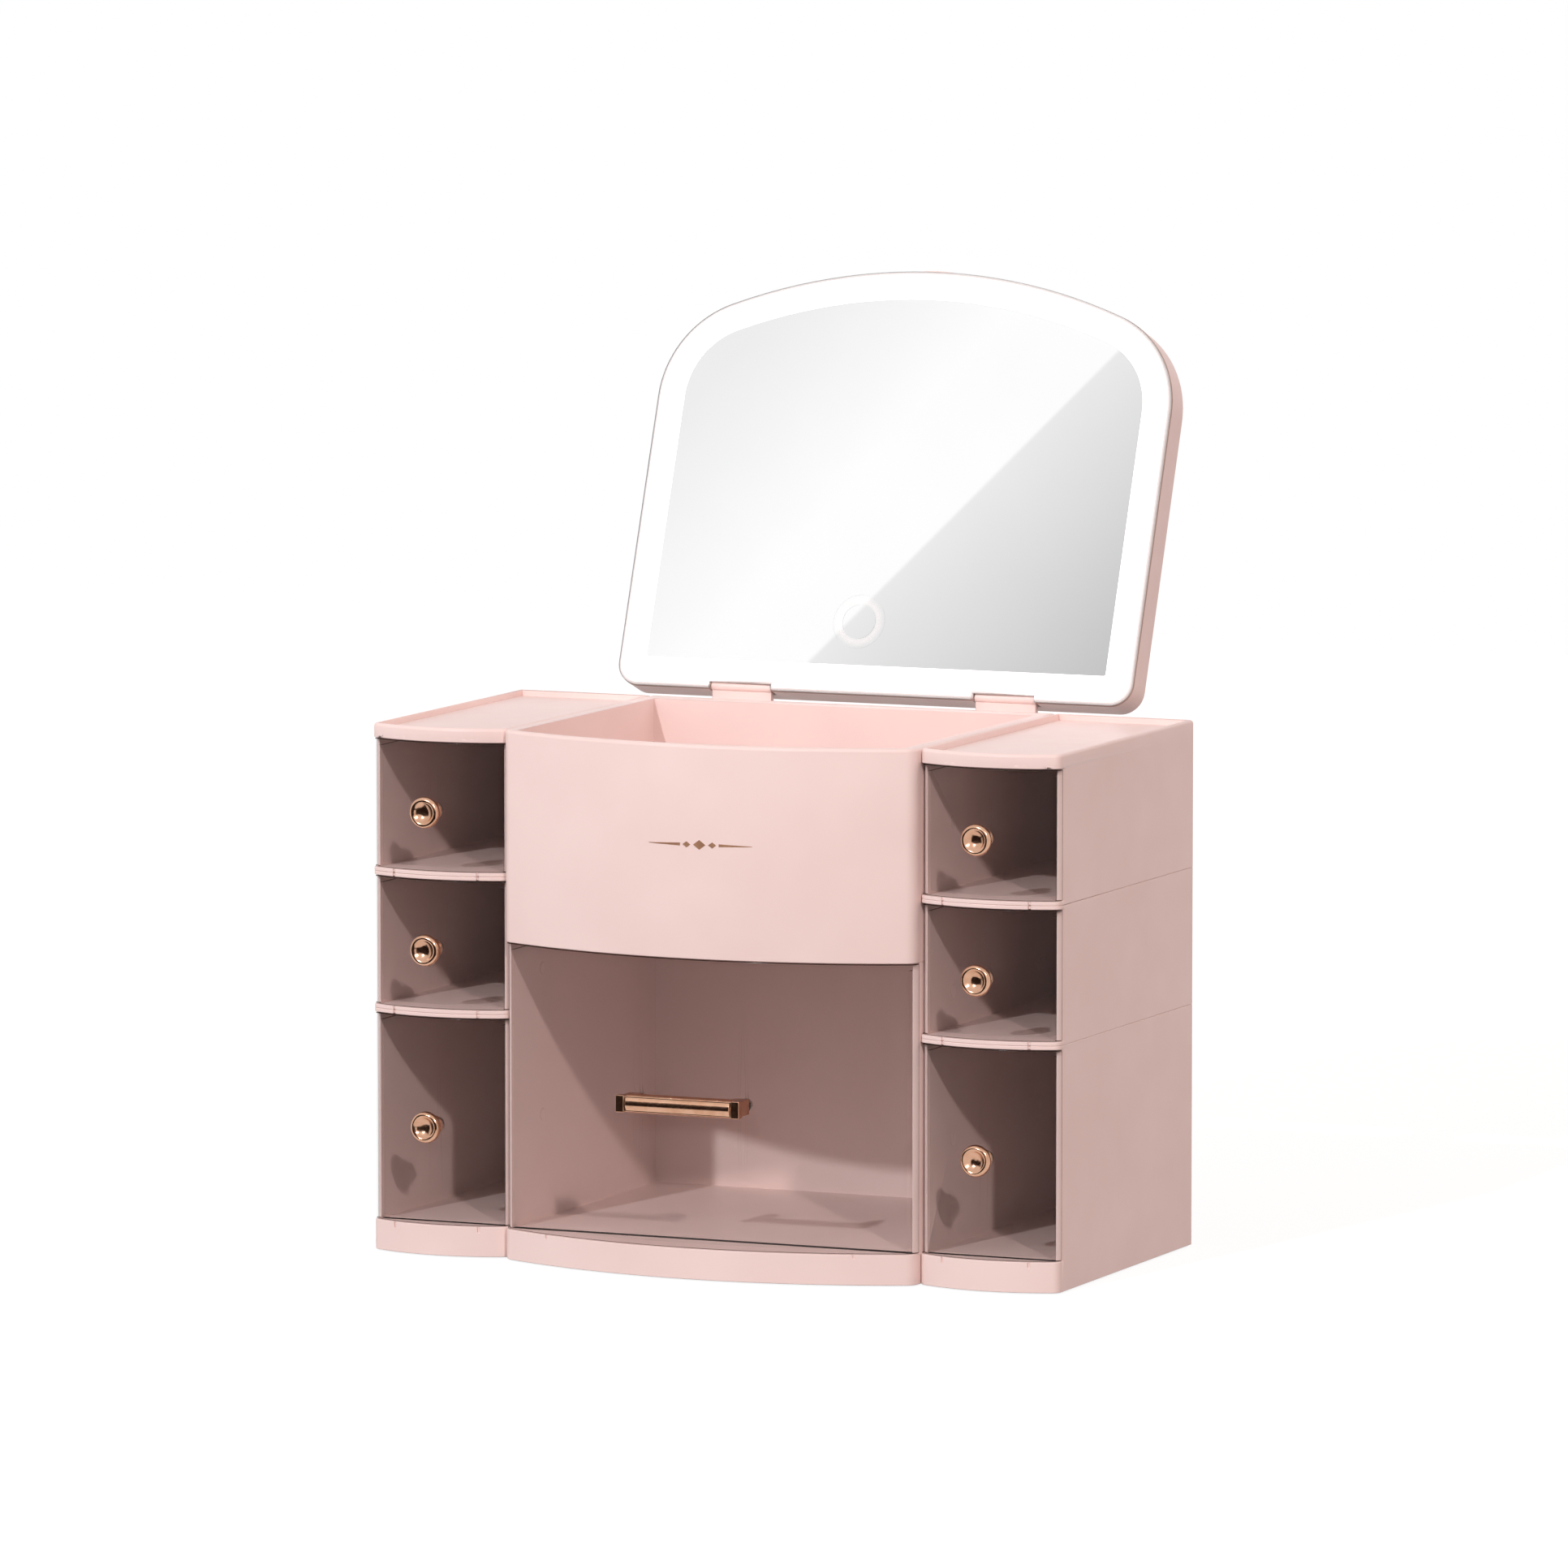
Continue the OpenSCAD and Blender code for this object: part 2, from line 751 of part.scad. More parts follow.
module mirror_shell() {
    color(pink) leaning() difference() {
        union() {
            sheet(seat_c, mirror_t - seat_c) arch_ring(0, shell_t);
            sheet(back_c, mirror_t - back_c) arch(shell_t / 2);
            sheet(seat_c, carrier_t) arch_ring(shell_t / 2, shell_t + carrier_edge);
            for (side = [-1, 1])
                translate([side * hinge_x - pocket_w / 2, seat_c, shell_t / 2])
                    cube([pocket_w, notch_c + shell_t - seat_c, notch_b + shell_t / 2]);
            for (place = face_screws)
                translate([place[0], seat_c + carrier_t, place[1]]) rotate([-90, 0, 0])
                    cylinder(h = back_c - seat_c - carrier_t + cut, r = boss_r, $fn = 32);
        }
        knuckle_pockets();
        pin_rods(pin_r + 0.02, pocket_w - shell_t);
        for (place = face_screws) translate([place[0], 0, place[1]]) face_screw(fit);
        translate([-mirror_w / 2 - cut, socket_c - fit, socket_b - socket_w / 2 - fit])
            cube([shell_t + 2 * cut, socket_t + 2 * fit, socket_w + 2 * fit]);
    }
}

// A screw from the back of the shell into the carrier
module face_screw(ease = 0) {
    translate([0, mirror_t, 0]) rotate([90, 0, 0]) {
        cylinder(h = mirror_t - seat_c - slack + ease / 2, r = face_screw_r + ease, $fn = 32);
        translate([0, 0, -ease]) cylinder(h = head_t + ease, r = head_r + ease, $fn = 32);
    }
}

module mirror_screws() {
    color(steel) leaning()
        for (place = face_screws) translate([place[0], 0, place[1]]) face_screw();
}

// The plate that carries the glass and the inner edge of the lit band
module mirror_carrier() {
    color(white) leaning() difference() {
        sheet(seat_c, carrier_t) arch(band_w - carrier_edge);
        translate([touch_x, seat_c - cut, touch_b]) rotate([-90, 0, 0])
            cylinder(h = cut + 0.8, r = touch_out + fit);
        for (place = face_screws) translate([place[0], 0, place[1]]) face_screw(fit);
    }
}

module mirror_glass() {
    color("#dfe3e6") leaning() difference() {
        sheet(face_c, glass_t) arch(band_w);
        touch_print(fit);
    }
}

// The printed ring of the touch switch, let into the glass
module touch_print(ease = 0) {
    translate([touch_x, face_c - ease, touch_b]) rotate([-90, 0, 0]) difference() {
        cylinder(h = print_t + ease, r = touch_out + ease);
        translate([0, 0, -cut]) cylinder(h = print_t + 3 * cut, r = touch_in - ease);
    }
}

module touch_ring() {
    color("#ffffff") leaning() touch_print();
}

module touch_sensor() {
    color("#c58b5a") leaning() translate([touch_x, seat_c, touch_b]) rotate([-90, 0, 0])
        cylinder(h = 0.7, r = touch_out - 1);
}

module light_diffuser() {
    color("#ffffff") leaning() difference() {
        sheet(face_c, glass_t) arch_ring(face_edge, band_w - fit);
        neck_slots(seat_c);
    }
}

board_out = 6.2;
board_in = 13;

module led_board() {
    color("#e9efe6") leaning() {
        sheet(board_c, board_t) arch_ring(board_out, board_in);
        for (place = board_posts) translate([place[0], board_c + board_t, place[1]])
            rotate([-90, 0, 0]) cylinder(h = back_c - board_c - board_t, r = 2.4, $fn = 24);
    }
}
board_posts = [
    [-mirror_w / 2 + 9, 30], [mirror_w / 2 - 9, 30],
    [-mirror_w / 2 + 9, 120], [mirror_w / 2 - 9, 120],
    [0, 9], [0, mirror_h - 9]
];

// Points round the middle of the lit band, for the light chips
chip_s = (board_out + board_in) / 2;
chip_step = 11;
chip_half = mirror_w / 2 - chip_s;
side_chips = [for (b = [chip_s + chip_step : chip_step : shoulder_y]) b];
foot_chips = [for (a = [-chip_half + chip_step : chip_step : chip_half - chip_step]) a];
arch_turn = asin(shoulder_x / (arch_r - shoulder_r));
arch_chips = [for (turn = [-arch_turn + 1 : 2.2 : arch_turn - 1]) turn];

module chip(a, b) {
    translate([a - 1.4, board_c - chip_t, b - 1.4]) cube([2.8, chip_t, 2.8]);
}

module led_chips() {
    color("#fff4c8") leaning() {
        for (b = side_chips, side = [-1, 1]) chip(side * chip_half, b);
        for (a = foot_chips) chip(a, chip_s);
        for (turn = arch_chips)
            chip((arch_r - chip_s) * sin(turn), arch_y + (arch_r - chip_s) * cos(turn));
    }
}

// Battery and its cell cap, behind the middle of the glass
battery_b = 62;
battery_w = 80;
battery_h = 46;
battery_t = 6.2;
cap_w = 4;
cap_edge = 1;
cap_in = 8;

module battery_pack() {
    color("#8fa0ad") leaning()
        translate([-battery_w / 2 - cap_w - 2, back_c - battery_t, battery_b]) {
            cube([battery_w, battery_t, battery_h]);
            translate([battery_w, cap_edge, cap_in])
                cube([cap_w, battery_t - 2 * cap_edge, battery_h - 2 * cap_in]);
        }
}

// Control board beside the socket, with its chips and posts
control_w = 44;
control_h = 48;
control_t = 1.6;
control_in = shell_t + 12;
chip_w = 9;
coil_w = 6;

module control_board() {
    color("#2f6b4a") leaning()
        translate([-mirror_w / 2 + control_in, socket_c + socket_t, socket_b - control_h / 2]) {
            cube([control_w, control_t, control_h]);
            translate([(control_w - chip_w) / 3, control_t, (control_h - chip_w) / 2])
                cube([chip_w, 1.4, chip_w]);
            translate([control_w - 2 * coil_w - 2, control_t, coil_w + 2])
                cube([coil_w, 2.2, coil_w]);
            for (z = [coil_w, control_h - coil_w])
                translate([control_w - coil_w, control_t, z]) rotate([-90, 0, 0])
                    cylinder(h = back_c - socket_c - socket_t - control_t, r = 2.2, $fn = 24);
        }
}

module charging_socket() {
    color(steel) leaning()
        translate([-mirror_w / 2 + 0.3, socket_c, socket_b - socket_w / 2]) difference() {
            cube([control_in + 6, socket_t, socket_w]);
            translate([-cut, 0.5, 0.5]) cube([socket_l, socket_t - 1, socket_w - 1]);
        }
}

tab_w = 36;
tab_rise = 2.4;
tab_c = 8;
tab_t = 8;

// A low finger tab that sits on the arch, behind the lit face
module pull_tab() {
    tab_r = (pow(tab_w / 2, 2) + pow(tab_rise, 2)) / (2 * tab_rise);
    color(pink) leaning() sheet(tab_c, tab_t) difference() {
        translate([0, mirror_h + tab_rise - tab_r]) intersection() {
            circle(tab_r, $fn = 180);
            translate([-tab_w / 2, tab_r - 3 * tab_rise]) square([tab_w, 4 * tab_rise]);
        }
        translate([0, arch_y]) circle(arch_r, $fn = 360);
    }
}

module hinge_pins() {
    color(steel) leaning() pin_rods(pin_r, pin_l);
}

// ---- Assembly -----------------------------------------------------------------------------

module at_left() {
    translate([-tower_x, 0, 0]) children();
}

// The right tower is the left one's mirror image
module at_right() {
    mirror([1, 0, 0]) at_left() children();
}

at_left() tier_low();  // left_tier_low
at_left() tier_mid();  // left_tier_mid
at_left() tier_top();  // left_tier_top
at_right() tier_low();  // right_tier_low
at_right() tier_mid();  // right_tier_mid
at_right() tier_top();  // right_tier_top
middle_carcass();
top_bin();
side_rivets();
tier_rivets();
foot_pads();
hinge_bracket(-1);  // hinge_bracket_left
hinge_bracket(1);  // hinge_bracket_right
hinge_screws();
at_left() tower_drawer(floor_low, tall_h);  // left_drawer_low
at_left() tower_drawer(floor_mid, small_h);  // left_drawer_mid
at_left() tower_drawer(floor_top, small_h);  // left_drawer_top
at_right() tower_drawer(floor_low, tall_h);  // right_drawer_low
at_right() tower_drawer(floor_mid, small_h);  // right_drawer_mid
at_right() tower_drawer(floor_top, small_h);  // right_drawer_top
middle_drawer();
at_left() tower_knob(floor_low, tall_h);  // left_knob_low
at_left() tower_knob(floor_mid, small_h);  // left_knob_mid
at_left() tower_knob(floor_top, small_h);  // left_knob_top
at_right() tower_knob(floor_low, tall_h);  // right_knob_low
at_right() tower_knob(floor_mid, small_h);  // right_knob_mid
at_right() tower_knob(floor_top, small_h);  // right_knob_top
bar_handle();
at_left() tower_screw(floor_low, tall_h);  // left_screw_low
at_left() tower_screw(floor_mid, small_h);  // left_screw_mid
at_left() tower_screw(floor_top, small_h);  // left_screw_top
at_right() tower_screw(floor_low, tall_h);  // right_screw_low
at_right() tower_screw(floor_mid, small_h);  // right_screw_mid
at_right() tower_screw(floor_top, small_h);  // right_screw_top
handle_screws();
mirror_shell();
mirror_carrier();
mirror_glass();
light_diffuser();
led_board();
led_chips();
battery_pack();
control_board();
touch_ring();
touch_sensor();
charging_socket();
pull_tab();
mirror_screws();
hinge_pins();
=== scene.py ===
import json
import math

import bmesh
import bpy
import numpy as np
from mathutils import Matrix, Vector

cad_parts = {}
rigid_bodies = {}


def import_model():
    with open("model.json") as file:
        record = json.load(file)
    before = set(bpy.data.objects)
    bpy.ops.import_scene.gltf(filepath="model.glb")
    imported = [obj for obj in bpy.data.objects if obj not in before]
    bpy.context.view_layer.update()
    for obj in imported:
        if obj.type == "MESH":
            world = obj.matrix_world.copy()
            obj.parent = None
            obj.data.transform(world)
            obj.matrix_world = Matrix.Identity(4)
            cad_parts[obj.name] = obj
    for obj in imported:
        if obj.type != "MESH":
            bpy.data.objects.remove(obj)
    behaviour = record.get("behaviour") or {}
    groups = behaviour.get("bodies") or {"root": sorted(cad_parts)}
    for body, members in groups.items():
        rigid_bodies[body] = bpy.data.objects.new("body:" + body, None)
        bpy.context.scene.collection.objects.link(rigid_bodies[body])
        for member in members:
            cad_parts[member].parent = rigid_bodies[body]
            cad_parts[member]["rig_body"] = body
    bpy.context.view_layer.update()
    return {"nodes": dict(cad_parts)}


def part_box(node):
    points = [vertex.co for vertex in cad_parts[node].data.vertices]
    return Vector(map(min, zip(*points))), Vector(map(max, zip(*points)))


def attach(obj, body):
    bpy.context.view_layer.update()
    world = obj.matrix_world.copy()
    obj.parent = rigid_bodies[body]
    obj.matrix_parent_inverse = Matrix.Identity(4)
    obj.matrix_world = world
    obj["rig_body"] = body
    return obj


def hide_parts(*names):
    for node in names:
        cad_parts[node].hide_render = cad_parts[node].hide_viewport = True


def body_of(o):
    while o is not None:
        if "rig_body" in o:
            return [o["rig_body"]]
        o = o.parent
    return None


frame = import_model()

nodes = frame["nodes"]
mm = 0.001


def linear(hexColour):
    # sRGB hex to the linear colour that shaders take
    c = np.array([int(hexColour[i:i + 2], 16) for i in (1, 3, 5)]) / 255
    c = np.where(c <= 0.04045, c / 12.92, ((c + 0.055) / 1.055) ** 2.4)
    return (*c.tolist(), 1.0)


def addNode(tree, kind, inputs={}, **settings):
    # one shader node; an input that is a socket is linked, any other is a value
    node = tree.nodes.new("ShaderNode" + kind)
    for name, value in settings.items():
        setattr(node, name, value)
    for name, value in inputs.items():
        if isinstance(value, bpy.types.NodeSocket):
            tree.links.new(value, node.inputs[name])
        else:
            node.inputs[name].default_value = value
    return node


def newMaterial(name):
    # an empty material, its tree and the object's own coordinates in metres
    material = bpy.data.materials.new(name)
    material.use_nodes = True
    material.node_tree.nodes.clear()
    tree = material.node_tree
    return material, tree, addNode(tree, "TexCoord").outputs["Object"]


def setRamp(node, *stops):
    # colour stops (place, sRGB hex) on a colour ramp
    elements = node.color_ramp.elements
    while len(elements) < len(stops):
        elements.new(1.0)
    for element, (place, colour) in zip(elements, stops):
        element.position = place
        element.color = linear(colour)
    return node.outputs["Color"]


def setSurface(tree, shader):
    addNode(tree, "OutputMaterial", {"Surface": shader.outputs[0]})


def noise(tree, coords, size, detail=2.0, roughness=0.5):
    # cloudy noise whose patches are about this many millimetres across
    values = {"Vector": coords, "Scale": 1000 / size, "Detail": detail, "Roughness": roughness}
    return addNode(tree, "TexNoise", values).outputs["Fac"]


def spread(tree, value, low, high):
    # noise, which runs from about 0.3 to 0.7, spread over a range
    values = {"Value": value, "From Min": 0.3, "From Max": 0.7, "To Min": low, "To Max": high}
    return addNode(tree, "MapRange", values).outputs["Result"]


def anyOf(tree, *values):
    # 1 where at least one of several flags is 1, else 0
    most = values[0]
    for value in values[1:]:
        most = addNode(tree, "Math", {0: most, 1: value}, operation="MAXIMUM").outputs[0]
    return most


print("materials")

mouldedPink = {
    "colour": "#F1DAD5", "paler": "#F3DDD8", "deeper": "#EFD7D2",
    "ior": 1.53, "specular": 0.32, "roughness": 0.42, "uneven": 0.04, "bump": 0.35,
    "flow": 60, "haze": 14, "grain": 0.9, "grainDepth": 0.03,    # mm
}


def makePink(values):
    # satin ABS, injection moulded in a finely spark-eroded tool: even powder pink,
    # wide soft highlights, a barely visible grain and slow flow marks
    material, tree, coords = newMaterial("satinMouldedAbs")
    flow = noise(tree, coords, values["flow"], 3)
    colour = setRamp(addNode(tree, "ValToRGB", {"Fac": flow}),
                     (0.3, values["deeper"]), (0.5, values["colour"]), (0.7, values["paler"]))
    grain = noise(tree, coords, values["grain"], 1)
    bump = addNode(tree, "Bump", {
        "Height": grain, "Strength": values["bump"], "Distance": values["grainDepth"] * mm})
    haze = noise(tree, coords, values["haze"], 2)
    roughness, uneven = values["roughness"], values["uneven"]
    shader = addNode(tree, "BsdfPrincipled", {
        "Base Color": colour, "IOR": values["ior"], "Specular IOR Level": values["specular"],
        "Normal": bump.outputs["Normal"],
        "Roughness": spread(tree, haze, roughness - uneven, roughness + uneven)})
    setSurface(tree, shader)
    return material


smokedSan = {
    # tint is what one face lets through, share how much of the body's own colour it shows
    "plateTint": "#FBFBFB", "trayTint": "#FBFBFB", "body": "#8F8A87",
    "plateShare": 0.03, "trayShare": 0.02, "roughness": 0.06,
    # edge values: a darker copy for the rims, painted shade for how dark the edges look end on
    "edgeTint": "#8F7C74", "edgeBody": "#3B2F2A", "edgeShare": 0.5, "edgeRoughness": 0.12,
    "ior": 1.57, "bump": 0.25, "streak": 35, "haze": 9, "waveDepth": 0.05,     # mm
}
wideSanPaintedLight = {
    # the wide drawer is deeper and lit better: its plastic is a paler copy, painted light for its
    # brighter inside
    "plateTint": "#FDFDFD", "trayTint": "#FEFEFE", "body": "#B5ADA9",
    "plateShare": 0.045, "trayShare": 0.02, "roughness": 0.06,
}


def makeSmoked(name, tint, body, share, roughness):
    # clear smoked SAN, moulded in a polished tool: it lets the inside show through a light
    # smoke tint and has a glass-like gloss; a darker copy of it on the rims is painted shade for how
    # dark its edges look end on
    material, tree, coords = newMaterial(name)
    wave = addNode(tree, "Bump", {
        "Height": noise(tree, coords, smokedSan["streak"], 2),
        "Strength": smokedSan["bump"], "Distance": smokedSan["waveDepth"] * mm})
    haze = noise(tree, coords, smokedSan["haze"], 2)
    gloss = addNode(tree, "BsdfPrincipled", {
        "Base Color": linear(body), "IOR": smokedSan["ior"], "Normal": wave.outputs["Normal"],
        "Roughness": spread(tree, haze, roughness * 0.7, roughness * 1.4)})
    clear = addNode(tree, "BsdfTransparent", {"Color": linear(tint)})
    both = addNode(tree, "MixShader", {0: share, 1: clear.outputs[0], 2: gloss.outputs[0]})
    setSurface(tree, both)
    return material


roseGold = {"colour": "#D2A68B", "deeper": "#C7987B", "roughness": 0.17}
goldFoil = {"colour": "#D9A98A", "deeper": "#CB9877", "roughness": 0.5}
# the handling lines' width, how much shorter they are along Y, their depth, and patches: mm
goldWear = {"line": 1.6, "stretch": 9.0, "bump": 0.15, "lineDepth": 0.02, "patch": 6}


def makeGold(name, values):
    # rose-gold metal: plated over a polished turning it is mirror-like with a faint haze
    # and fine handling lines, and as hot-stamped foil it is soft and satin
    material, tree, coords = newMaterial(name)
    stretched = addNode(tree, "Mapping", {"Vector": coords, "Scale": (1.0, goldWear["stretch"], 1.0)})
    lines = noise(tree, stretched.outputs[0], goldWear["line"], 3)
    colour = setRamp(addNode(tree, "ValToRGB", {"Fac": noise(tree, coords, goldWear["patch"], 2)}),
                     (0.3, values["deeper"]), (0.6, values["colour"]))
    bump = addNode(tree, "Bump", {
        "Height": lines, "Strength": goldWear["bump"], "Distance": goldWear["lineDepth"] * mm})
    shader = addNode(tree, "BsdfPrincipled", {
        "Base Color": colour, "Metallic": 1.0, "Normal": bump.outputs["Normal"],
        "Roughness": spread(tree, lines, values["roughness"] - 0.03, values["roughness"] + 0.06)})
    setSurface(tree, shader)
    return material


def makePlain(name, pale, deep, size, roughness, metallic=0.0, depth=0.02, ior=1.5, glow=0.0):
    # a base for the small parts: two near colours in cloudy patches and a fine relief
    material, tree, coords = newMaterial(name)
    patches = noise(tree, coords, size, 3)
    colour = setRamp(addNode(tree, "ValToRGB", {"Fac": patches}), (0.3, deep), (0.7, pale))
    bump = addNode(tree, "Bump", {"Height": patches, "Strength": 0.4, "Distance": depth * mm})
    shader = addNode(tree, "BsdfPrincipled", {
        "Base Color": colour, "Metallic": metallic, "IOR": ior, "Normal": bump.outputs["Normal"],
        "Roughness": spread(tree, patches, roughness * 0.85, roughness * 1.15)})
    if glow:
        shader.inputs["Emission Color"].default_value = linear("#FFFFFF")
        shader.inputs["Emission Strength"].default_value = glow
    setSurface(tree, shader)
    return material


pink = makePink(mouldedPink)
plate, tray, widePlatePaintedLight, wideTrayPaintedLight = (
    makeSmoked(name, values[part + "Tint"], values["body"], values[part + "Share"], values["roughness"])
    for name, values, part in (
        ("clearSanFront", smokedSan, "plate"), ("clearSanTray", smokedSan, "tray"),
        ("clearSanWideFrontPaintedLight", wideSanPaintedLight, "plate"), ("clearSanWideTrayPaintedLight", wideSanPaintedLight, "tray")))
# the rims' darker copy of the clear plastic: painted shade for how dark its edges look end on
rimPaintedShade = makeSmoked("clearSanEdgePaintedShade", smokedSan["edgeTint"], smokedSan["edgeBody"],
                     smokedSan["edgeShare"], smokedSan["edgeRoughness"])
gold = makeGold("rosePlating", roseGold)
foil = makeGold("hotStampedFoil", goldFoil)
# zinc plated steel, machine made: grey with a light bloom
steel = makePlain("zincPlatedSteel", "#C9C8C4", "#A9A7A2", 1.2, 0.3, metallic=1.0)
# moulded rubber: matt and dusty
rubber = makePlain("mouldedRubber", "#4A4644", "#3C3937", 1.5, 0.8)
# float glass silvered on its back: clean reflections
silvered = makePlain("silveredFloatGlass", "#F6F6F6", "#F4F4F4", 80, 0.012, metallic=1.0, depth=0.0)
# the mirror shell's rounded rims: a deeper tone of its pink, painted shade for how dark its rounded
# edges look
shellRoundPaintedShade = makePlain("satinMouldedAbsPaintedShade", "#B9A096", "#B0968C", 6, 0.4)
# opal polycarbonate lit from behind, and its rim, where the light fades
frosted = makePlain("frostedPolycarbonate", "#FFFFFF", "#FAFAFA", 0.8, 0.5, ior=1.58, glow=0.55)
frostedEdge = makePlain("frostedPolycarbonateEdge", "#E9E7E6", "#E2E0DF", 0.8, 0.5, ior=1.58)
# what lies inside the mirror: white ABS, solder mask in white and green, yellow phosphor
# resin, blue shrink film and rolled copper foil, each evenly coloured with slight patches
whitePlastic = makePlain("mouldedWhiteAbs", "#F2F1EE", "#E9E7E3", 3, 0.45)
boardWhite = makePlain("whiteSolderMask", "#F1F3F0", "#E4E8E4", 2, 0.4)
boardGreen = makePlain("greenSolderMask", "#2E6B45", "#24573A", 2, 0.35)
chipYellow = makePlain("phosphorResin", "#F2D66A", "#E3BF45", 0.8, 0.35)
batteryFilm = makePlain("shrinkFilm", "#3F6FA8", "#345F93", 6, 0.3)
copper = makePlain("rolledCopper", "#C98A63", "#B37650", 1.5, 0.3, metallic=1.0)

touchInk = {
    # mm; dense gives the ink's share at places from the ring's inner to its outer radius
    "centre": (-5.0, 109.98, 313.53), "radii": (9.2, 14.4), "colour": "#F8F8F8", "roughness": 0.55,
    "silver": "#F5F5F5", "silverRoughness": 0.012,
    "dense": ((0.0, "#606060"), (0.25, "#A6A6A6"), (0.5, "#8C8C8C"), (0.95, "#000000")),
}


def makeInk(values):
    # thin white screen printing on silvered glass: a soft ring, dense near its inner rim,
    # that fades into the silver towards its outer one
    material, tree, coords = newMaterial("screenPrintedInk")
    centre = tuple(c * mm for c in values["centre"])
    radius = addNode(tree, "VectorMath", {0: coords, 1: centre}, operation="DISTANCE")
    inner, outer = values["radii"]
    place = addNode(tree, "MapRange", {
        "Value": radius.outputs["Value"], "From Min": inner * mm, "From Max": outer * mm})
    dense = setRamp(addNode(tree, "ValToRGB", {"Fac": place.outputs["Result"]}), *values["dense"])
    speckle = spread(tree, noise(tree, coords, 1.5, 2), 0.92, 1.0)
    share = addNode(tree, "Math", {0: dense, 1: speckle}, operation="MULTIPLY")
    ink = addNode(tree, "BsdfPrincipled", {
        "Base Color": linear(values["colour"]), "Roughness": values["roughness"]})
    silver = addNode(tree, "BsdfPrincipled", {
        "Base Color": linear(values["silver"]), "Metallic": 1.0, "Roughness": values["silverRoughness"]})
    both = addNode(tree, "MixShader", {0: share.outputs[0], 1: silver.outputs[0], 2: ink.outputs[0]})
    setSurface(tree, both)
    return material


whiteInk = makeInk(touchInk)


def dress(name, material):
    # the CAD node keeps its shape and takes a better material
    data = nodes[name].data
    data.materials.clear()
    data.materials.append(material)


def joinedFaces(work):
    # faces in groups, each the faces that run smoothly into one another
    free, groups = set(work.faces), []
    while free:
        group, border = [], [free.pop()]
        while border:
            face = border.pop()
            group.append(face)
            for edge in face.edges:
                if edge.smooth:
                    border += [near for near in edge.link_faces if near in free]
                    free.difference_update(edge.link_faces)
        groups.append(group)
    return groups


softEdge = {
    # points nearer than merge mm become one; degrees: what is still flat, what is a sharp
    # edge, and the narrowest corner of a face that a round may run into
    "merge": 0.02, "flat": 0.5, "sharp": 35, "narrow": 20, "segments": 2,
    # metres towards the centre at which a wall looks inward; the share of an area that
    # looks along Y from which it's no strip; mm from which a drawer is tray, not front
    "inward": -0.02, "facing": 0.7, "frontEndsY": -70,
}


def softCopy(name, width, materials, thin=0.0, centre=None):
    # a merged copy of a CAD solid with a small round on its outer edges, as a moulding
    # has; strips narrower than thin, and the rounds, take the last material, and of three
    # materials the middle one is for what reaches back behind a drawer's front; edges back
    # there and those of walls that look at the centre stay sharp
    work = bmesh.new()
    work.from_mesh(nodes[name].data)
    bmesh.ops.remove_doubles(work, verts=work.verts, dist=softEdge["merge"] * mm)
    flat, sharp, narrow = (math.radians(softEdge[key]) for key in ("flat", "sharp", "narrow"))
    bmesh.ops.dissolve_limit(work, angle_limit=flat, verts=work.verts, edges=work.edges)
    isDrawer, last = len(materials) == 3, len(materials) - 1
    frontEnds = softEdge["frontEndsY"] * mm
    weight = work.edges.layers.float.new("bevel_weight_edge")
    for edge in work.edges:
        edge.smooth = edge.calc_face_angle(0.0) < sharp
        corners = [loop.calc_angle() for side in edge.link_loops for loop in (side, side.link_loop_next)]
        mid = (edge.verts[0].co + edge.verts[1].co) / 2
        outward = min(face.normal.dot(mid - centre) for face in edge.link_faces) if centre else 0
        inward = outward < softEdge["inward"]
        behind = isDrawer and mid.y > frontEnds
        plain = edge.smooth or inward or behind
        edge[weight] = float(not plain and edge.is_convex and min(corners) > narrow)
    for group in joinedFaces(work):
        area = sum(face.calc_area() for face in group)
        rim = sum(edge.calc_length() for face in group for edge in face.edges if not edge.smooth)
        facing = abs(sum(face.normal.y * face.calc_area() for face in group)) / area
        strip = thin > 0 and 2 * area / max(rim, mm) < thin and facing < softEdge["facing"]
        for face in group:
            behind = isDrawer and max(v.co.y for v in face.verts) > frontEnds
            face.smooth = True
            face.material_index = last if strip else int(behind)
    data = bpy.data.meshes.new(name + "_soft")
    work.to_mesh(data)
    work.free()
    for material in materials:
        data.materials.append(material)
    piece = bpy.data.objects.new(name + "_soft", data)
    bpy.context.scene.collection.objects.link(piece)
    bevel = piece.modifiers.new("softEdges", "BEVEL")
    bevel.width = width * mm
    bevel.segments = softEdge["segments"]
    bevel.limit_method = "WEIGHT"
    bevel.harden_normals = True
    bevel.use_clamp_overlap = False
    bevel.material = last if last else -1
    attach(piece, body_of(nodes[name])[0])
    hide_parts(name)
    return piece


def gridPiece(name, points, wrapU, wrapV, material, body):
    # a mesh over a grid of points (rows, columns, 3), joined round where a side wraps, and
    # with points that coincide made one
    rows, columns = points.shape[:2]
    index = np.arange(rows * columns).reshape(rows, columns)
    below = index if wrapU else index[:-1]
    above = np.roll(index, -1, 0) if wrapU else index[1:]
    turn = (lambda a: np.roll(a, -1, 1)) if wrapV else (lambda a: a[:, 1:])
    cut = (lambda a: a) if wrapV else (lambda a: a[:, :-1])
    faces = np.stack([cut(below), turn(below), turn(above), cut(above)], -1).reshape(-1, 4)
    data = bpy.data.meshes.new(name)
    data.from_pydata(points.reshape(-1, 3).tolist(), [], faces.tolist())
    work = bmesh.new()
    work.from_mesh(data)
    bmesh.ops.remove_doubles(work, verts=work.verts, dist=1e-7)
    bmesh.ops.recalc_face_normals(work, faces=work.faces)
    for face in work.faces:
        face.smooth = True
    work.to_mesh(data)
    work.free()
    data.materials.append(material)
    piece = bpy.data.objects.new(name, data)
    bpy.context.scene.collection.objects.link(piece)
    if body:
        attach(piece, body)
    return piece


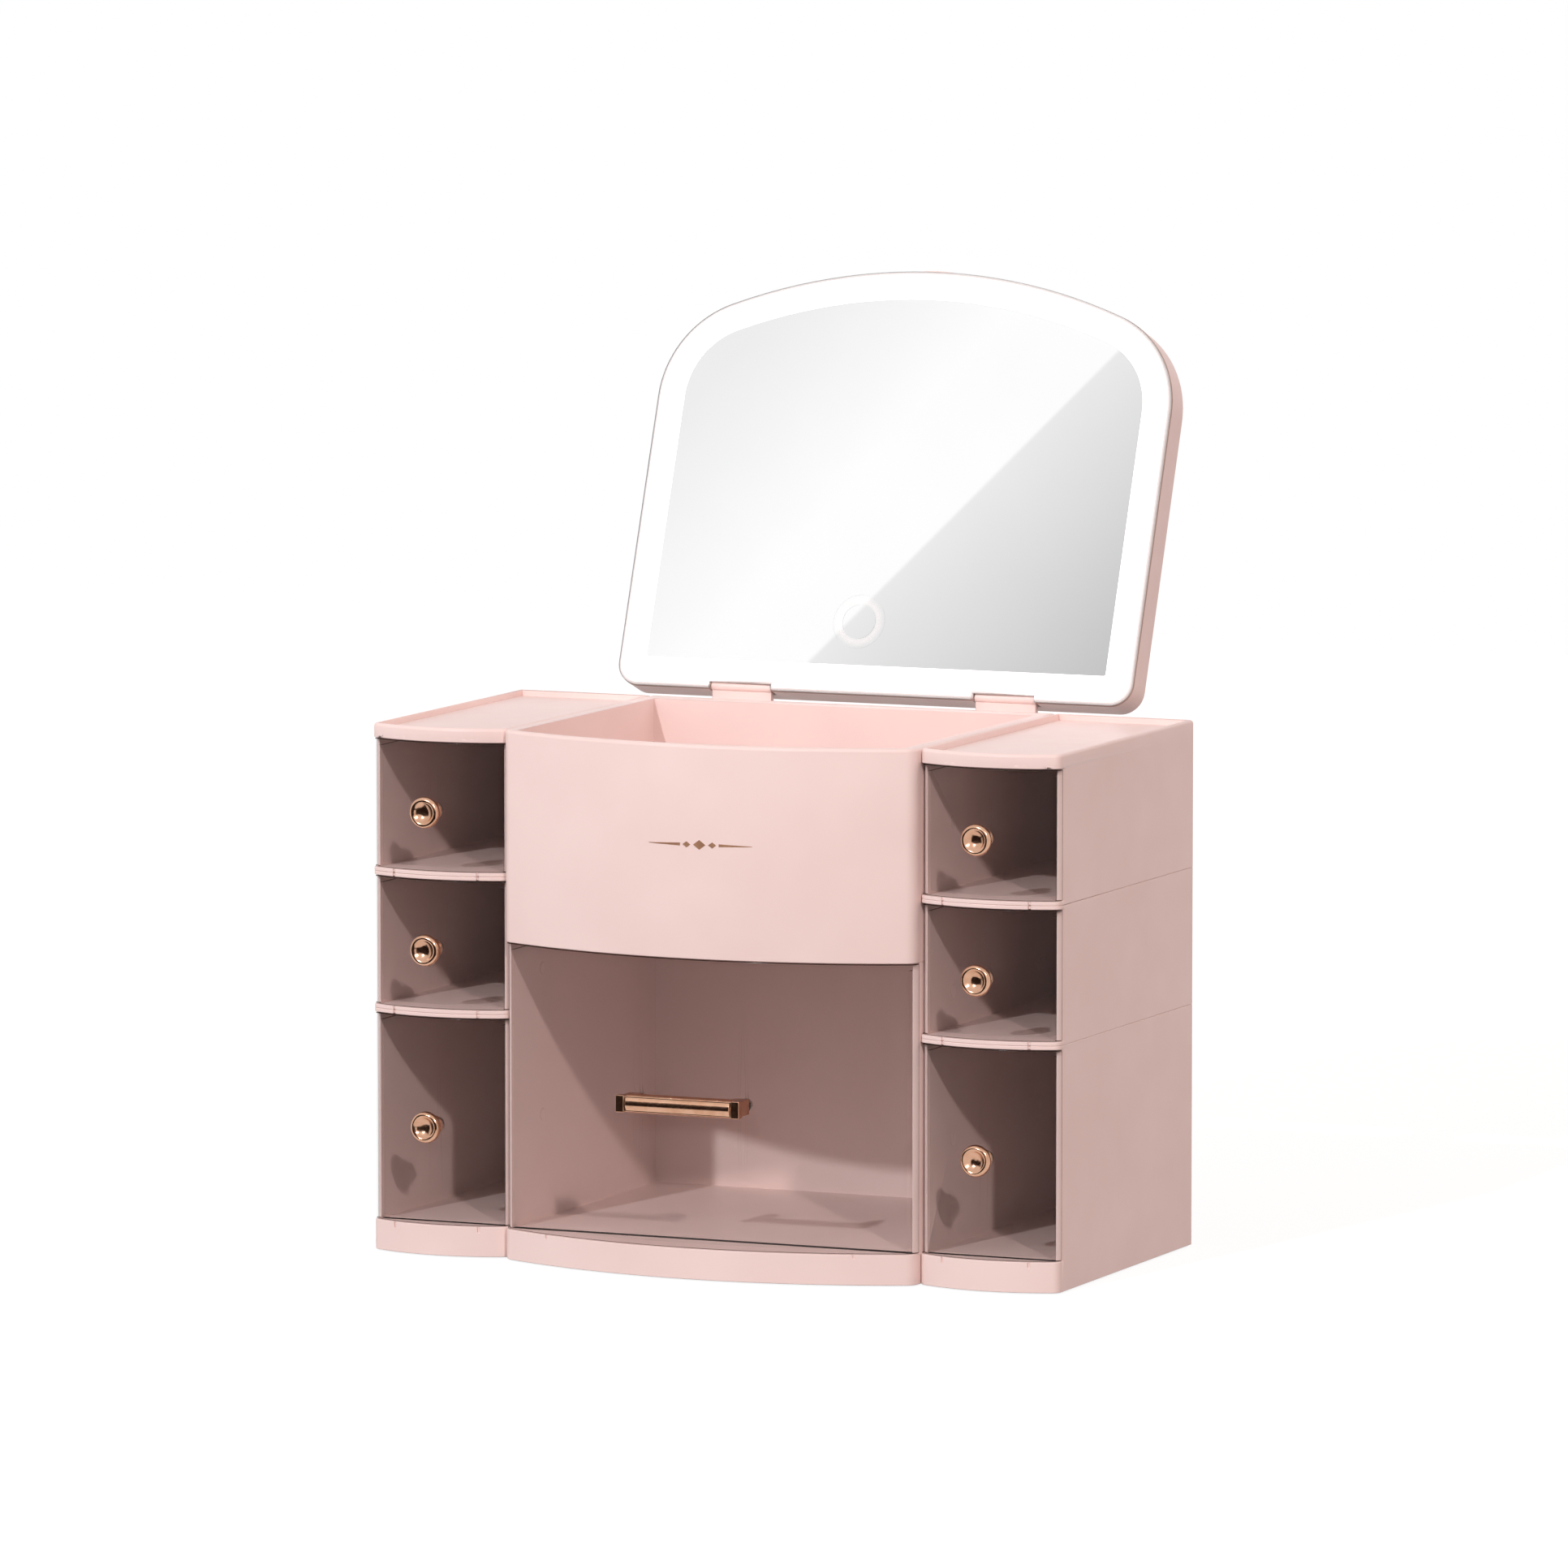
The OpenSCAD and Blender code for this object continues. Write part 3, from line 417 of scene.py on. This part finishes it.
def smoothLine(points, steps):
    # a Catmull-Rom curve through the points, ends doubled: each stretch is the usual
    # cubic of its two points and their two neighbours
    p = np.asarray(points, float)
    p = np.vstack([2 * p[0] - p[1], p, 2 * p[-1] - p[-2]])
    t = np.linspace(0, 1, steps, endpoint=False)[:, None]
    a, b, c, d = (p[i:len(p) - 3 + i, None] for i in range(4))
    curve = 0.5 * (2 * b + (c - a) * t + (2 * a - 5 * b + 4 * c - d) * t ** 2
                   + (3 * b - a - 3 * c + d) * t ** 3)
    return np.vstack([curve.reshape(-1, p.shape[1]), p[-2]])


print("pink mouldings")
mouldings = {
    "names": ["left_tier_low", "left_tier_mid", "left_tier_top", "right_tier_low", "right_tier_mid",
              "right_tier_top", "middle_carcass", "top_bin", "mirror_shell", "hinge_bracket_left",
              "hinge_bracket_right", "pull_tab"],
    "round": 0.4, "shellRoundPaintedShade": 0.8,    # mm
}
for name in mouldings["names"]:
    if name == "mirror_shell":
        # the shell's rounds take the deeper pink, painted shade on its edges
        softCopy(name, mouldings["shellRoundPaintedShade"], [pink, shellRoundPaintedShade])
    else:
        softCopy(name, mouldings["round"], [pink])

print("drawers")
drawers = {
    "names": ["left_drawer_low", "left_drawer_mid", "left_drawer_top", "right_drawer_low",
              "right_drawer_mid", "right_drawer_top", "middle_drawer"],
    "round": 0.3, "strip": 3.3,     # mm: a front's rim, no wider than the strip, takes painted shade
}
for name in drawers["names"]:
    # the wide drawer takes the paler copy of the plastic, painted light
    sheets = [widePlatePaintedLight, wideTrayPaintedLight] if name == "middle_drawer" else [plate, tray]
    softCopy(name, drawers["round"], [*sheets, rimPaintedShade], drawers["strip"] * mm)

print("knobs and bar")
knobShape = {
    # (radius, distance from the drawer's front) in mm from the foot to the middle of the dimple
    "outline": [(0.0, 0.0), (4.6, 0.0), (4.9, 0.5), (4.4, 1.6), (3.9, 3.2), (4.3, 5.0), (6.3, 7.0),
                (7.9, 8.7), (8.15, 10.0), (7.6, 11.4), (6.5, 12.1), (5.5, 11.8), (4.1, 10.8),
                (2.2, 9.9), (0.0, 9.6)],
    "turns": 64, "steps": 8, "length": 12.2,
}
barShape = {"round": 0.4}       # mm
knobLine = smoothLine(knobShape["outline"], knobShape["steps"])
radius = np.maximum(knobLine[:, :1], 0) * mm
depth = np.clip(knobLine[:, 1:], 0, knobShape["length"]) * mm
angle = np.linspace(0, 2 * np.pi, knobShape["turns"], endpoint=False)
for side in ("left", "right"):
    for level in ("low", "mid", "top"):
        name = f"{side}_knob_{level}"
        low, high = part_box(name)
        points = np.stack([radius * np.cos(angle) + (low.x + high.x) / 2, high.y - depth + 0 * angle,
                           radius * np.sin(angle) + (low.z + high.z) / 2], -1)
        body = body_of(nodes[name])[0]
        knob = gridPiece(name + "_turned", points, False, True, gold, body)
        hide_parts(name)
softCopy("bar_handle", barShape["round"], [gold])

print("small parts")
for name in nodes:
    if "screw" in name or "pins" in name:
        dress(name, steel)
    if "rivet" in name:
        dress(name, pink)
for name, material in {
        "foot_pads": rubber, "mirror_glass": silvered, "touch_ring": whiteInk,
        "mirror_carrier": whitePlastic, "led_board": boardWhite, "led_chips": chipYellow,
        "battery_pack": batteryFilm, "control_board": boardGreen, "touch_sensor": copper,
        "charging_socket": steel}.items():
    dress(name, material)

litBand = {"round": 1.5, "strip": 2.2}     # mm
low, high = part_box("mirror_glass")
softCopy("light_diffuser", litBand["round"], [frosted, frostedEdge],
         litBand["strip"] * mm, (low + high) / 2)

print("mark on the bin")
mark = {
    # mm: where it lies on the bowed front; lozenges as (place, half width, half height), and
    # the bars' ends from the middle with their half heights there
    "left": -21.5, "right": 34.7, "z": 222.0, "bowCentreY": 140.5, "bowRadius": 262.0, "proud": 0.06,
    "lozenges": ((0, 3.4, 2.5), (-7, 2.2, 1.6), (7, 2.2, 1.6)),
    "barEnds": (10.5, 28.1), "barHeights": (0.75, 0.15), "columns": 25,
}


def stampedShape(name, x, height):
    # a flat foil shape as high as height either way, laid on the bow:
    # y = centre - sqrt(R^2 - x^2), lifted by its thickness
    x, z = np.stack([x, x]), mark["z"] + np.stack([-height, height])
    y = mark["bowCentreY"] - np.sqrt((mark["bowRadius"] + mark["proud"]) ** 2 - x ** 2)
    points = np.stack([x, y, z], -1) * mm
    return gridPiece(name, points, False, False, foil, "cabinet")


middle = (mark["left"] + mark["right"]) / 2
across = np.linspace(-1, 1, mark["columns"])
for i, (place, half, tall) in enumerate(mark["lozenges"]):
    stampedShape(f"mark_lozenge_{i}", middle + place + half * across, tall * (1 - np.abs(across)))
for i, sign in enumerate((-1, 1)):
    stampedShape(f"mark_bar_{i}", middle + sign * np.linspace(*mark["barEnds"], mark["columns"]),
                 np.linspace(*mark["barHeights"], mark["columns"]))

print("stage")
studio = {
    # each lamp: strength, colour, where it stands, how wide it looks in degrees
    "key": (0.42, "#F4F4F6", (-0.156, -0.832, 0.532), 1.6),
    "fill": (0.34, "#FFEEE9", (0.546, -0.674, 0.498), 2.2),
    "leftSoft": (0.38, "#FFF7F6", (-0.750, -0.600, 0.270), 70.0),
    "rightSoft": (0.155, "#FFCFB9", (0.950, 0.100, 0.300), 60.0),
    "backSoft": (0.30, "#FFF7F6", (0.100, 0.980, 0.120), 60.0),
    "ambient": 0.32, "ambientColour": "#FFF7F6",
    "floorSize": 6.0, "floorGlow": 0.88, "floorGrey": "#7C7A79",
    "hidden": 10,       # degrees: lamps that look wider than this don't show in reflections
}

world = bpy.data.worlds.new("studioWhite")
bpy.context.scene.world = world
world.use_nodes = True
tree = world.node_tree
tree.nodes.clear()
rays = addNode(tree, "LightPath").outputs
seen = anyOf(tree, rays["Is Camera Ray"], rays["Is Glossy Ray"], rays["Is Transmission Ray"])
level = addNode(tree, "MapRange", {"Value": seen, "To Min": studio["ambient"], "To Max": 1.0})
colour = addNode(tree, "Mix", {
    "Factor": seen, 6: linear(studio["ambientColour"]), 7: linear("#FFFFFF")}, data_type="RGBA")
sky = addNode(tree, "Background", {"Color": colour.outputs[2], "Strength": level.outputs["Result"]})
addNode(tree, "OutputWorld", {"Surface": sky.outputs[0]})

floorMaterial, tree, coords = newMaterial("paleFloor")
rays = addNode(tree, "LightPath").outputs
seen = anyOf(tree, rays["Is Camera Ray"], rays["Is Glossy Ray"])
matt = addNode(tree, "BsdfDiffuse", {"Color": linear(studio["floorGrey"])})
glow = addNode(tree, "Emission", {"Color": linear("#FFFFFF"), "Strength": studio["floorGlow"]})
lifted = addNode(tree, "AddShader", {0: matt.outputs[0], 1: glow.outputs[0]})
setSurface(tree, addNode(tree, "MixShader", {0: seen, 1: matt.outputs[0], 2: lifted.outputs[0]}))
half = studio["floorSize"] / 2
corners = np.array([[[x, y, 0] for x in (-half, half)] for y in (-half, half)])
floor = gridPiece("floor", corners, False, False, floorMaterial, None)


def addSun(name, strength, colour, source, angle):
    # a far lamp of so much strength, standing towards source; its three axes are the
    # direction to it, and two across
    light = bpy.data.lights.new(name, "SUN")
    light.energy = strength * math.pi
    light.color = linear(colour)[:3]
    light.angle = math.radians(angle)
    lamp = bpy.data.objects.new(name, light)
    bpy.context.scene.collection.objects.link(lamp)
    z = np.array(source) / np.linalg.norm(source)
    x = np.cross((0, 0, 1), z)
    x /= np.linalg.norm(x)
    turn = np.stack([x, np.cross(z, x), z], 1)
    lamp.matrix_world = Matrix(turn.tolist()).to_4x4()
    lamp.visible_glossy = angle < studio["hidden"]


for name in ("key", "fill", "leftSoft", "rightSoft", "backSoft"):
    addSun(name, *studio[name])

# a black flag that only reflections see, as photographers stand one before plated parts:
# across, it bends round the front; up its section, it lies on the floor and then stands
flag = {
    # metres, and degrees round the object; its section starts near it and ends up high
    "from": -150.0, "to": -62.0, "columns": 24, "grey": "#2A211D",
    "section": [(0.34, 0.004), (0.57, 0.004), (0.62, 0.05), (0.62, 0.34)], "steps": 6,
}
turn = np.radians(np.linspace(flag["from"], flag["to"], flag["columns"]))
section = smoothLine(flag["section"], flag["steps"])
points = np.stack([section[:, :1] * np.cos(turn), section[:, :1] * np.sin(turn),
                   section[:, 1:] + 0 * turn], -1)
flagMaterial, tree, coords = newMaterial("blackFlag")
setSurface(tree, addNode(tree, "Emission", {"Color": linear(flag["grey"]), "Strength": 1.0}))
flagCard = gridPiece("blackFlag", points, False, False, flagMaterial, None)

print("camera")
shot = {
    "place": (2.48358, -5.71303, 0.93760), "forward": (-0.396158, 0.911415, -0.111277),
    "right": (0.917110, 0.398633, 0.0), "up": (-0.044359, 0.102053, 0.993790),
    "lens": 281.07, "sensor": 36, "farthest": 50,
}
camera = bpy.data.objects.new("camera", bpy.data.cameras.new("camera"))
bpy.context.scene.collection.objects.link(camera)
camera.data.lens = shot["lens"]
camera.data.sensor_width = shot["sensor"]
camera.data.sensor_fit = "HORIZONTAL"
camera.data.clip_end = shot["farthest"]
back = -np.array(shot["forward"])
camera.matrix_world = Matrix(np.column_stack([
    np.vstack([np.column_stack([shot["right"], shot["up"], back]), np.zeros(3)]),
    [*shot["place"], 1]]).tolist())
bpy.context.scene.camera = camera

# what the mirror shows: a card that only reflections see, shaped by reflecting the
# view through a grid of points on the mirror's face
mirrorView = {
    # mm from the mirror's foot, across and up its face, and the card's distance in metres
    "foot": (7.0, 96.39, 276.98), "lean": 20.4, "middle": (0.0, 115.0), "distance": 1.5,
    "reach": ((-190, 200), (-30, 270)), "glow": 1.08, "blur": 1.0,
    # a line through two points, then the greys beside it and over how many mm they change
    "edge": ((-37.9, 15.6), (111.8, 189.7)), "edgeGrey": ("#ECECEC", "#C4C4C4", 131.0),
    "fade": ((-104.5, 16.3), (46.3, 208.4)), "fadeGrey": ("#FFFFFF", "#EFEFEF", 101.0),
}


def reflectionGrid(values, rows=24, columns=24):
    # mirror point p = foot + a*across + b*up; ray d = p - eye, r = d - 2(d.n)n, carried on
    # from p until it meets the plane that faces the middle ray at the card's distance
    lean = math.radians(values["lean"])
    across, up = np.array([1.0, 0, 0]), np.array([0, math.sin(lean), math.cos(lean)])
    n = np.array([0, -math.cos(lean), math.sin(lean)])
    reachA, reachB = values["reach"]
    a, b = np.meshgrid(np.linspace(*reachA, columns), np.linspace(*reachB, rows))
    foot, eye = np.array(values["foot"]) * mm, np.array(shot["place"])

    def bounce(a, b):
        p = foot + (np.asarray(a)[..., None] * across + np.asarray(b)[..., None] * up) * mm
        d = p - eye
        d /= np.linalg.norm(d, axis=-1, keepdims=True)
        return p, d - 2 * (d @ n)[..., None] * n

    p0, r0 = bounce(*np.array(values["middle"])[:, None])
    centre, facing = p0[0] + values["distance"] * r0[0], r0[0]
    p, r = bounce(a, b)
    t = ((centre - p) @ facing) / (r @ facing)
    return p + r * t[..., None], a, b


points, a, b = reflectionGrid(mirrorView)
cardMaterial, tree, coords = newMaterial("reflectionCard")
uv = addNode(tree, "TexCoord").outputs["UV"]


def distanceNode(line):
    # signed distance in mm from a line on the mirror, positive on its right-hand side
    (x0, y0), (x1, y1) = line
    length = math.hypot(x1 - x0, y1 - y0)
    normal = ((y1 - y0) / length, -(x1 - x0) / length, 0)
    dot = addNode(tree, "VectorMath", {0: uv, 1: normal}, operation="DOT_PRODUCT")
    offset = x0 * normal[0] + y0 * normal[1]
    return addNode(tree, "Math", {0: dot.outputs["Value"], 1: offset}, operation="SUBTRACT").outputs[0]


def greyBeside(distance, values, side):
    # grey that changes with the distance from a line, on its right (1) or its left (-1)
    near, far, reach = values
    part = addNode(tree, "MapRange", {"Value": distance, "From Min": 0.0, "From Max": side * reach})
    return setRamp(addNode(tree, "ValToRGB", {"Fac": part.outputs["Result"]}), (0.0, near), (1.0, far))


right = distanceNode(mirrorView["edge"])
rightGrey = greyBeside(right, mirrorView["edgeGrey"], 1)
leftGrey = greyBeside(distanceNode(mirrorView["fade"]), mirrorView["fadeGrey"], -1)
blend = addNode(tree, "MapRange", {
    "Value": right, "From Min": -mirrorView["blur"], "From Max": mirrorView["blur"]})
pick = addNode(tree, "Mix", {
    "Factor": blend.outputs["Result"], 6: leftGrey, 7: rightGrey}, data_type="RGBA")
setSurface(tree, addNode(tree, "Emission", {"Color": pick.outputs[2], "Strength": mirrorView["glow"]}))
card = gridPiece("reflectionCard", points, False, False, cardMaterial, None)
layer = card.data.uv_layers.new(name="mirrorMillimetres")
flat = np.stack([a, b], -1).reshape(-1, 2)
loopVerts = np.empty(len(card.data.loops), int)
card.data.loops.foreach_get("vertex_index", loopVerts)
layer.data.foreach_set("uv", flat[loopVerts].ravel())
for kind in ("camera", "diffuse", "shadow", "transmission", "volume_scatter"):
    setattr(card, "visible_" + kind, False)
    setattr(flagCard, "visible_" + kind, False)

scene = bpy.context.scene
scene.view_settings.view_transform = "Standard"
scene.cycles.transparent_max_bounces = 32
